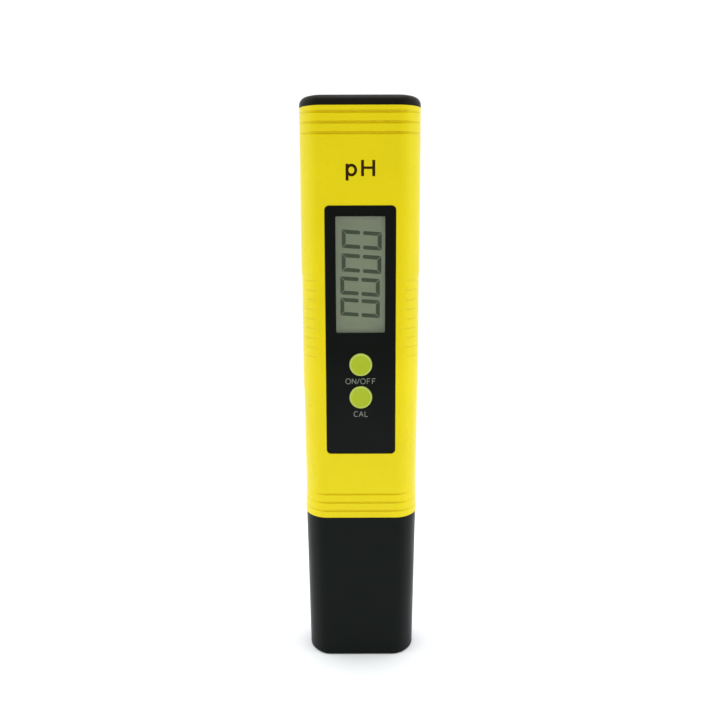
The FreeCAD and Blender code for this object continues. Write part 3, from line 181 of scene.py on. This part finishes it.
def clear(name, colour, ior, roughness=0.03, **sockets):
    look = Look(name, colour, roughness, IOR=ior, **sockets)
    look.shader.inputs["Transmission Weight"].default_value = 1.0
    look.vary_roughness(4 * MM, roughness * 0.6)
    return look


def board_look():
    """Green solder mask over copper tracks that show as a slightly lighter pattern."""
    look = Look("board_mask", (0.01, 0.13, 0.035), 0.3)
    bricks = look.node("ShaderNodeTexBrick")
    bricks.inputs["Scale"].default_value = 160
    bricks.inputs["Mortar Size"].default_value = 0.03
    mapping = look.node("ShaderNodeMapping")
    mapping.inputs["Rotation"].default_value = (math.radians(90), 0, 0)
    look.link(look.place, mapping.inputs["Vector"])
    look.link(mapping.outputs["Vector"], bricks.inputs["Vector"])
    tracks = look.mix(bricks.outputs["Fac"], (0.008, 0.10, 0.028), (0.02, 0.22, 0.06))
    look.link(tracks, look.shader.inputs["Base Color"])
    return look.grain(0.3 * MM, 0.004 * MM)


def button_look(*nodes):
    """Green plastic with a painted highlight: paler over the rounded rim of each button, where the
    rim would catch the light.
    """
    look = Look("button_green", (0.41, 0.52, 0.012), 0.32, Specular_IOR_Level=0.3)
    distances = []
    for node in nodes:
        low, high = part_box(node)
        vector = {"kind": "ShaderNodeVectorMath", "result": "Vector"}
        away = look.maths("SUBTRACT", look.place, (0, 0, (low.z + high.z) / 2), **vector)
        flat = look.maths("MULTIPLY", away, (1, 0, 1), **vector)
        distances.append(look.maths("LENGTH", flat, kind="ShaderNodeVectorMath"))
    # Painted highlight: towards the rim the green is mixed with a paler green.
    rim = look.remap(look.maths("MINIMUM", *distances), 0, 1, PAINTED_HIGHLIGHT_START, PAINTED_HIGHLIGHT_END)
    drift = look.remap(look.noise(5 * MM), 0, 1)
    green = look.mix(drift, (0.395, 0.485, 0.010), (0.415, 0.51, 0.012))
    look.link(look.mix(rim, green, (0.50, 0.60, 0.12)), look.shader.inputs["Base Color"])
    return look.grain(0.3 * MM, 0.003 * MM)


def film_look(node):
    """The display's grey film, with painted light that makes it a little paler towards its edges,
    against the shade cast by the window's frame.
    """
    look = Look("film_grey", (0.33, 0.38, 0.25), 0.5, Specular_IOR_Level=0.15)
    low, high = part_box(node)
    place = look.node("ShaderNodeSeparateXYZ")
    look.link(look.place, place.inputs["Vector"])
    painted_light_sides = []
    for axis, socket in ((0, "X"), (2, "Z")):
        middle, reach = (low[axis] + high[axis]) / 2, (high[axis] - low[axis]) / 2
        aside = look.maths("ABSOLUTE", look.maths("SUBTRACT", place.outputs[socket], middle))
        painted_light_sides.append(look.remap(aside, 0, 1, reach - PAINTED_LIGHT_REACH, reach))
    # Painted light: the film turns paler within that reach of its sides and ends.
    painted_light = look.maths("MAXIMUM", *painted_light_sides)
    drift = look.remap(look.noise(9 * MM), 0, 1)
    grey = look.mix(drift, (0.345, 0.395, 0.262), (0.37, 0.42, 0.28))
    look.link(look.mix(painted_light, grey, (0.46, 0.49, 0.37)), look.shader.inputs["Base Color"])
    return look.grain(0.15 * MM, 0.002 * MM)


LOOKS = {
    "case_yellow": moulded(
        "case_yellow", (0.81, 0.655, 0.003), 0.3, 0.5 * MM, 0.004 * MM, Specular_IOR_Level=0.18
    ),
    "cap_black": moulded("cap_black", (0.0046, 0.0066, 0.006), 0.36, Specular_IOR_Level=0.08),
    "panel_black": moulded(
        "panel_black", (0.0025, 0.004, 0.003), 0.22, 0.8 * MM, 0.002 * MM, Specular_IOR_Level=0.1
    ),
    "window_clear": clear("window_clear", (0.97, 1.0, 0.97), 1.49, Specular_IOR_Level=0.25),
    "frame_black": moulded("frame_black", (0.02, 0.02, 0.02), 0.6),
    "film_grey": film_look("display_polarizer"),
    "glass_clear": clear("glass_clear", (0.9, 0.97, 0.92), 1.52),
    "film_silver": Look("film_silver", (0.42, 0.44, 0.39), 0.45, Metallic=0.6).grain(
        0.1 * MM, 0.004 * MM
    ),
    "zebra_rubber": moulded("zebra_rubber", (0.12, 0.12, 0.11), 0.8),
    "board_green": board_look(),
    "screw_steel": metal("screw_steel", (0.55, 0.55, 0.53), 0.35, (1, 1, 1)),
    "chip_black": moulded("chip_black", (0.012, 0.012, 0.013), 0.6, 0.15 * MM),
    "chip_tan": moulded("chip_tan", (0.4, 0.29, 0.17), 0.55, 0.15 * MM),
    "crystal_silver": metal("crystal_silver", (0.6, 0.6, 0.6), 0.3),
    "switch_black": moulded("switch_black", (0.012, 0.012, 0.012), 0.5),
    "button_green": button_look("power_button", "calibrate_button"),
    "contact_nickel": metal("contact_nickel", (0.62, 0.59, 0.53), 0.25),
    "wire_red": moulded("wire_red", (0.45, 0.012, 0.01), 0.4),
    "wire_black": moulded("wire_black", (0.01, 0.01, 0.01), 0.4),
    "cell_steel": metal("cell_steel", (0.66, 0.65, 0.62), 0.24, (1, 9, 9)),
    "carrier_black": moulded("carrier_black", (0.010, 0.010, 0.011), 0.5, Specular_IOR_Level=0.2),
    "holder_black": moulded("holder_black", (0.008, 0.0085, 0.009), 0.42, Specular_IOR_Level=0.2),
    "seal_rubber": moulded("seal_rubber", (0.010, 0.010, 0.010), 0.55, 0.2 * MM),
    "tube_clear": clear("tube_clear", (0.90, 0.95, 0.97), 1.5, 0.05),
    "bulb_glass": clear("bulb_glass", (0.93, 0.98, 0.98), 1.52, 0.02),
    "seal_white": moulded("seal_white", (0.72, 0.71, 0.68), 0.6),
    "junction_ceramic": moulded("junction_ceramic", (0.74, 0.70, 0.60), 0.9, 0.1 * MM, 0.02 * MM),
    "silver_wire": metal("silver_wire", (0.60, 0.58, 0.54), 0.4),
    "potting_black": moulded("potting_black", (0.010, 0.010, 0.010), 0.3, 1.2 * MM, 0.01 * MM),
    "cable_grey": moulded("cable_grey", (0.2, 0.2, 0.21), 0.45),
    "probe_steel": metal("probe_steel", (0.60, 0.60, 0.58), 0.28, (9, 9, 1)),
    "thermistor_bead": moulded("thermistor_bead", (0.010, 0.010, 0.010), 0.25),
    "lead_tinned": metal("lead_tinned", (0.62, 0.62, 0.60), 0.3),
}
for row in frame["record"]["subparts"]:
    for slot in frame["nodes"][row["node"]].material_slots:
        slot.material = LOOKS[row["material_slot"]].material

# The battery cap's black is a little warmer than the lower cap's.
warm_black = moulded("battery_cap_black", (0.0078, 0.0062, 0.0046), 0.4, Specular_IOR_Level=0.08)
for slot in frame["nodes"]["battery_cap"].material_slots:
    slot.material = warm_black.material


# ---------------------------------------------------------------------------------------------
# Print and digits
# ---------------------------------------------------------------------------------------------

INK_THICKNESS = 0.02 * MM
# Crossing outlines of one print stand this far behind each other.
LAYER = 0.0005 * MM


def flat_piece(name, groups, surface, look):
    """A film of ink on the surface at that y, made of groups of closed outlines in (x, z).

    Each outline is solid on its own; each group stands a little behind the one before it, so
    outlines of different groups may cross.
    """
    front = surface - INK_THICKNESS
    vertices, faces = [], []
    outlines = [(outline, step) for step, group in enumerate(groups) for outline in group]
    for outline, step in outlines:
        first, count = len(vertices), len(outline)
        vertices += [(x, front + step * LAYER, z) for x, z in outline]
        vertices += [(x, surface, z) for x, z in outline]
        faces.append([first + i for i in range(count)])
        faces.append([first + count + i for i in reversed(range(count))])
        for i in range(count):
            j = (i + 1) % count
            faces.append((first + j, first + i, first + count + i, first + count + j))
    mesh = bpy.data.meshes.new(name)
    mesh.from_pydata(vertices, [], faces)
    mesh.materials.append(look.material)
    made = bpy.data.objects.new(name, mesh)
    scene.collection.objects.link(made)
    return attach(made, "case")


def ink(name, colour, roughness):
    """Screen-printed ink: slightly uneven, with a faint dapple."""
    look = Look(name, colour, roughness, Specular_IOR_Level=0.05)
    return look.vary_colour(0.6 * MM, 0.12).grain(0.08 * MM, 0.004 * MM)


def rectangle(left, right, low, high):
    """An upright rectangle, from millimetres."""
    corners = ((left, low), (right, low), (right, high), (left, high))
    return [(x * MM, z * MM) for x, z in corners]


def ring_pieces(x, z, half_width, half_height, stroke, steps=48, opening=0):
    """A ring of four-sided pieces round (x, z), from millimetres.

    It is open by that many degrees either side of +X.
    """
    made = []
    start, whole = math.radians(opening), 2 * math.pi - 2 * math.radians(opening)
    for i in range(steps):
        corners = []
        for angle, inset in ((i, 0), (i + 1, 0), (i + 1, stroke), (i, stroke)):
            turned = start + whole * angle / steps
            corners.append(
                (
                    (x + (half_width - inset) * math.cos(turned)) * MM,
                    (z + (half_height - inset) * math.sin(turned)) * MM,
                )
            )
        made.append(corners)
    return made


face_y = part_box("front_case")[0].y
panel_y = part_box("face_panel")[0].y
film_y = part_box("display_polarizer")[0].y

dark_ink = ink("dark_ink", (0.034, 0.014, 0.0005), 0.5)
# The two large letters, in millimetres: a stem or a bar is (left, right, low, high).
P_STEM = (-3.78, -3.02, 133.5, 137.75)
P_BOWL = {"x": -2.28, "z": 136.17, "half_width": 1.49, "half_height": 1.6, "stroke": 0.72}
H_STEMS = ((0.24, 1.0, 134.62, 138.72), (3.14, 3.9, 134.62, 138.72))
H_BAR = (0.9, 3.4, 136.43, 137.05)
letter_p = [[rectangle(*P_STEM)], ring_pieces(**P_BOWL)]
letter_h = [[rectangle(*stem) for stem in H_STEMS], [rectangle(*H_BAR)]]
flat_piece("print_p", letter_p, face_y, dark_ink)
flat_piece("print_h", letter_h, face_y, dark_ink)


def stroke(start, end, width):
    """A straight pen stroke from start to end."""
    (x0, z0), (x1, z1) = start, end
    length = math.hypot(x1 - x0, z1 - z0)
    across, up = -(z1 - z0) / length * width / 2, (x1 - x0) / length * width / 2
    near = ((x0 - across, z0 - up), (x1 - across, z1 - up))
    far = ((x1 + across, z1 + up), (x0 + across, z0 + up))
    return [(x * MM, z * MM) for x, z in (*near, *far)]


# Each letter as pen strokes in a box one unit high and one unit wide.
STROKES = {
    "N": (((0, 0), (0, 1)), ((0, 1), (1, 0)), ((1, 0), (1, 1))),
    "/": (((0, 0), (1, 1)),),
    "F": (((0, 0), (0, 1)), ((0, 1), (1, 1)), ((0, 0.52), (0.8, 0.52))),
    "A": (((0, 0), (0.5, 1)), ((0.5, 1), (1, 0)), ((0.2, 0.36), (0.8, 0.36))),
    "L": (((0, 1), (0, 0)), ((0, 0), (1, 0))),
}
# The pen's width and the height of a small capital, in millimetres; a C's opening, in degrees.
PEN = 0.17
CAPITAL = 1.6
C_OPENING = 50


def label(name, letters, z):
    """Small capitals at height z: each letter with the x it starts at and its width."""
    low, high = z - CAPITAL / 2, z + CAPITAL / 2
    groups = []
    for letter, x, width in letters:
        if letter in "OC":
            opening = C_OPENING if letter == "C" else 0
            groups.append(
                ring_pieces(x + width / 2, z, width / 2, CAPITAL / 2, PEN, opening=opening)
            )
            continue
        reach, rise = width - PEN, CAPITAL - PEN
        for start, end in STROKES[letter]:
            points = [(x + PEN / 2 + u * reach, low + PEN / 2 + v * rise) for u, v in (start, end)]
            groups.append([stroke(points[0], points[1], PEN)])
    return flat_piece(name, groups, panel_y, pale_ink)


pale_ink = ink("pale_ink", (0.24, 0.26, 0.22), 0.5)
# Each word's letters with where they start and how wide they are, and the word's height.
ON_OFF = (
    ("O", -4.15, 1.5),
    ("N", -2.4, 1.15),
    ("/", -1.05, 0.75),
    ("O", -0.15, 1.5),
    ("F", 1.65, 1.0),
    ("F", 3.05, 1.0),
)
ON_OFF_HEIGHT = 80.33
CAL = (("C", -1.95, 1.35), ("A", -0.6, 1.35), ("L", 1.0, 0.95))
CAL_HEIGHT = 71.2
label("print_on_off", ON_OFF, ON_OFF_HEIGHT)
label("print_cal", CAL, CAL_HEIGHT)

# The display reads upwards: a digit's top points to -X and the next digit is above it.
# Sizes and places are in millimetres.
DIGIT_HEIGHT = 10.55
DIGIT_WIDTH = 4.82
STROKE = 1.04
SLANT = 0.075
MITRE_GAP = 0.1
MIDDLE_GAP = 0.32
# How long a stroke's pointed end is, as a share of the stroke's width.
TIP_SHARE = 0.25
DIGIT_PLACES = ((-4.92, 120.98), (-5.0, 114.75), (-5.4, 108.65), (-5.4, 102.95))


def digit_segments():
    """The six lit strokes of a zero, as outlines in (across, down) from the digit's top end."""
    tall, wide, thick, gap = DIGIT_HEIGHT, DIGIT_WIDTH, STROKE, MITRE_GAP
    tip = tall / 2 - MIDDLE_GAP
    shoulder = tip - thick * TIP_SHARE
    end = [(0, gap), (0, wide - gap), (thick, wide - thick - gap), (thick, thick + gap)]
    near = [(gap, 0), (shoulder, 0), (tip, thick * 0.5), (shoulder, thick), (thick + gap, thick)]
    side = [(across, wide - down) for across, down in near]
    segments = [end, near, side]
    segments += [[(tall - across, down) for across, down in outline] for outline in segments[:3]]
    return segments


def digits():
    """The outlines of the four zeros, leaning a little."""
    outlines = []
    for x, z in DIGIT_PLACES:
        for segment in digit_segments():
            outlines.append(
                [((x + across) * MM, (z - down - SLANT * across) * MM) for across, down in segment]
            )
    return outlines


segment_look = Look("display_segments", (0.03, 0.066, 0.016), 0.5, Specular_IOR_Level=0.1)
segment_look.vary_colour(3 * MM, 0.08)
flat_piece("display_digits", [digits()], film_y, segment_look)


# ---------------------------------------------------------------------------------------------
# Floor, light and camera
# ---------------------------------------------------------------------------------------------


FLOOR_RADIUS = 0.36
FLOOR_STEPS = 96


def make_floor():
    """A round white sheet, so that nothing low down in front of the meter shows in its window."""
    turns = [2 * math.pi * i / FLOOR_STEPS for i in range(FLOOR_STEPS)]
    rim = [(FLOOR_RADIUS * math.cos(turn), FLOOR_RADIUS * math.sin(turn), 0) for turn in turns]
    mesh = bpy.data.meshes.new("floor")
    mesh.from_pydata(rim, [], [list(range(FLOOR_STEPS))])
    look = Look("floor_white", (0.872, 0.842, 0.891), 0.7, Specular_IOR_Level=0.1)
    look.vary_colour(80 * MM, 0.004)
    mesh.materials.append(look.material)
    floor = bpy.data.objects.new("floor", mesh)
    scene.collection.objects.link(floor)


# The world's colour from the front (0) to behind (1).
WORLD = (
    (0.03, (0.385, 0.372, 0.362)),
    (0.52, (0.92, 1.035, 0.955)),
    (0.80, (0.70, 0.72, 0.72)),
)
# Which way behind is: a little to the right of straight ahead.
WORLD_BEHIND = (0.12, 1, 0)
WORLD_STRENGTH = 1.5
BACKDROP_STRENGTH = 1.05


def make_world():
    """Brightest and cool at the sides, a plain white behind, dimmer and warmer towards the front.

    The backdrop itself is seen as white from every side.
    """
    world = bpy.data.worlds.new("studio")
    world.use_nodes = True
    tree = world.node_tree
    tree.nodes.clear()
    place = tree.nodes.new("ShaderNodeTexCoord")
    along = tree.nodes.new("ShaderNodeVectorMath")
    along.operation = "DOT_PRODUCT"
    along.inputs[1].default_value = WORLD_BEHIND
    share = tree.nodes.new("ShaderNodeMapRange")
    share.inputs["From Min"].default_value = -1
    share.inputs["From Max"].default_value = 1
    colours = tree.nodes.new("ShaderNodeValToRGB")
    colours.color_ramp.interpolation = "EASE"
    stops = colours.color_ramp.elements
    stops[0].position, stops[0].color = WORLD[0][0], (*WORLD[0][1], 1)
    stops[1].position, stops[1].color = WORLD[-1][0], (*WORLD[-1][1], 1)
    for position, colour in WORLD[1:-1]:
        stops.new(position).color = (*colour, 1)
    background = tree.nodes.new("ShaderNodeBackground")
    background.inputs["Strength"].default_value = WORLD_STRENGTH
    backdrop = tree.nodes.new("ShaderNodeBackground")
    backdrop.inputs["Color"].default_value = (1, 1, 1, 1)
    backdrop.inputs["Strength"].default_value = BACKDROP_STRENGTH
    path = tree.nodes.new("ShaderNodeLightPath")
    either = tree.nodes.new("ShaderNodeMixShader")
    output = tree.nodes.new("ShaderNodeOutputWorld")
    tree.links.new(place.outputs["Generated"], along.inputs[0])
    tree.links.new(along.outputs["Value"], share.inputs["Value"])
    tree.links.new(share.outputs["Result"], colours.inputs["Fac"])
    tree.links.new(colours.outputs["Color"], background.inputs["Color"])
    tree.links.new(path.outputs["Is Camera Ray"], either.inputs["Fac"])
    tree.links.new(background.outputs["Background"], either.inputs[1])
    tree.links.new(backdrop.outputs["Background"], either.inputs[2])
    tree.links.new(either.outputs["Shader"], output.inputs["Surface"])
    scene.world = world


def sun_light(name, tilt, softness, strength):
    """Light from above, tilted towards the front; the angles are in degrees."""
    light = bpy.data.lights.new(name, "SUN")
    light.angle, light.energy = math.radians(softness), strength
    made = bpy.data.objects.new(name, light)
    made.rotation_euler = (math.radians(-tilt), 0, 0)
    scene.collection.objects.link(made)


CAMERA_PLACE = (0, -0.22635, 0.12547)
CAMERA_LENS = 41.0
CAMERA_SHIFT = -0.001
# In degrees: how far the camera looks down, and how far it leans to one side.
CAMERA_PITCH, CAMERA_ROLL = 10.23, -0.17


def make_camera():
    lens = bpy.data.cameras.new("camera")
    lens.sensor_width = 36.0
    lens.lens = CAMERA_LENS
    lens.clip_start = 0.01
    lens.shift_x = CAMERA_SHIFT
    camera = bpy.data.objects.new("camera", lens)
    camera.location = CAMERA_PLACE
    level = Matrix.Rotation(math.radians(90 - CAMERA_PITCH), 4, "X")
    roll = Matrix.Rotation(math.radians(CAMERA_ROLL), 4, "Z")
    camera.rotation_euler = (level @ roll).to_euler()
    scene.collection.objects.link(camera)
    scene.camera = camera


make_floor()
make_world()
sun_light("overhead", tilt=3, softness=45, strength=1.4)
make_camera()
scene.view_settings.view_transform = "Standard"
